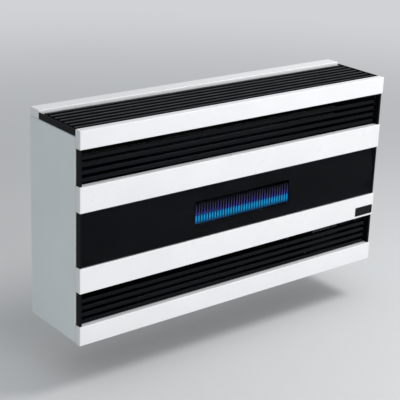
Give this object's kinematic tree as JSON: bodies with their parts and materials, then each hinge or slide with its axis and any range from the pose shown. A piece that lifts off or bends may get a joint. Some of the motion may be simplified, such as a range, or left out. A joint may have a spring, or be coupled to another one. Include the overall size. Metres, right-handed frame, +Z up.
{
  "type": "wall mounted gas heater",
  "caption": "Wide, shallow wall-hung gas heater with white bands, black louvred grilles, a dark glass flame window and side controls.",
  "frame": {"origin": "middle of the wall bracket's back face, in the plane of the wall", "axes": "+X along the wall to the right as seen from the room, +Y into the wall, +Z up; the glass front faces -Y"},
  "size_m": [1, 0.2312, 0.554],
  "materials": {
    "white_enamel": "smooth semi-gloss white stove enamel",
    "pale_grey_paint": "fine-grained satin pale grey powder coat",
    "black_enamel": "satin black stove enamel",
    "black_gloss": "glossy black enamel",
    "galvanised_steel": "dull galvanised sheet with a faint spangle",
    "tinted_glass": "polished smoke-tinted toughened glass",
    "clear_glass": "clear ceramic glass",
    "badge_plastic": "glossy black plate, blank",
    "chamber_steel": "matt heat-resistant black coating",
    "gasket_fibre": "pressed ceramic fibre",
    "stainless_steel": "stainless steel, slightly heat tinted",
    "foam_seal": "closed-cell foam",
    "brass": "turned brass",
    "ceramic": "glazed white ceramic",
    "copper": "drawn copper tube",
    "silicone_lead": "silicone insulation",
    "cast_aluminium": "fine die-cast aluminium",
    "black_plastic": "fine-grained black plastic",
    "red_plastic": "glossy red plastic"
  },
  "bodies": {
    "heater": {"wall_bracket": "galvanised_steel", "back_panel": "galvanised_steel", "chamber_cradle": "galvanised_steel", "air_tube": "galvanised_steel", "air_duct": "galvanised_steel", "control_bracket": "galvanised_steel", "side_panel_left": "pale_grey_paint", "side_panel_right": "pale_grey_paint", "top_rail": "white_enamel", "bottom_band": "white_enamel", "lower_band": "white_enamel", "upper_band": "white_enamel", "top_band": "white_enamel", "top_grille_end_left": "black_enamel", "top_grille_end_right": "black_enamel", "top_slat_1": "black_enamel", "top_slat_2": "black_enamel", "top_slat_3": "black_enamel", "top_slat_4": "black_enamel", "top_slat_5": "black_enamel", "top_slat_6": "black_enamel", "top_slat_7": "black_enamel", "front_frame": "black_enamel", "window_mask": "black_enamel", "bottom_pan": "black_enamel", "upper_louvre_1": "black_gloss", "upper_louvre_2": "black_gloss", "upper_louvre_3": "black_gloss", "upper_louvre_4": "black_gloss", "lower_louvre_1": "black_gloss", "lower_louvre_2": "black_gloss", "lower_louvre_3": "black_gloss", "lower_louvre_4": "black_gloss", "window_glass": "tinted_glass", "sight_glass": "clear_glass", "badge_plate": "badge_plastic", "combustion_chamber": "chamber_steel", "flue_baffle": "chamber_steel", "sight_glass_frame": "chamber_steel", "burner_tray": "chamber_steel", "sight_glass_gasket": "gasket_fibre", "flue_tube": "stainless_steel", "burner": "stainless_steel", "pilot_burner": "stainless_steel", "flue_seal": "foam_seal", "injector": "brass", "gas_inlet_union": "brass", "spark_electrode": "ceramic", "thermocouple": "copper", "pilot_tube": "copper", "gas_pipe": "copper", "thermostat_bulb": "copper", "ignition_lead": "silicone_lead", "gas_valve": "cast_aluminium", "control_bezel": "black_plastic", "piezo_igniter": "black_plastic"},
    "spindle": {"valve_spindle": "brass"},
    "knob": {"control_knob": "black_plastic"},
    "button": {"igniter_button": "red_plastic"}
  },
  "joints": [
    {"name": "knob_turn", "type": "hinge", "parent": "heater", "child": "spindle", "pos_m": [0.47, -0.118, -0.345], "axis": [1, 0, 0], "range_deg": [0, 270]},
    {"name": "knob_press", "type": "slide", "parent": "spindle", "child": "knob", "axis": [-1, 0, 0], "range_m": [0, 0.004], "stiffness_N_per_m": 600, "springref_m": -0.003},
    {"name": "igniter_press", "type": "slide", "parent": "heater", "child": "button", "axis": [-1, 0, 0], "range_m": [0, 0.006], "stiffness_N_per_m": 500, "springref_m": -0.004}
  ]
}
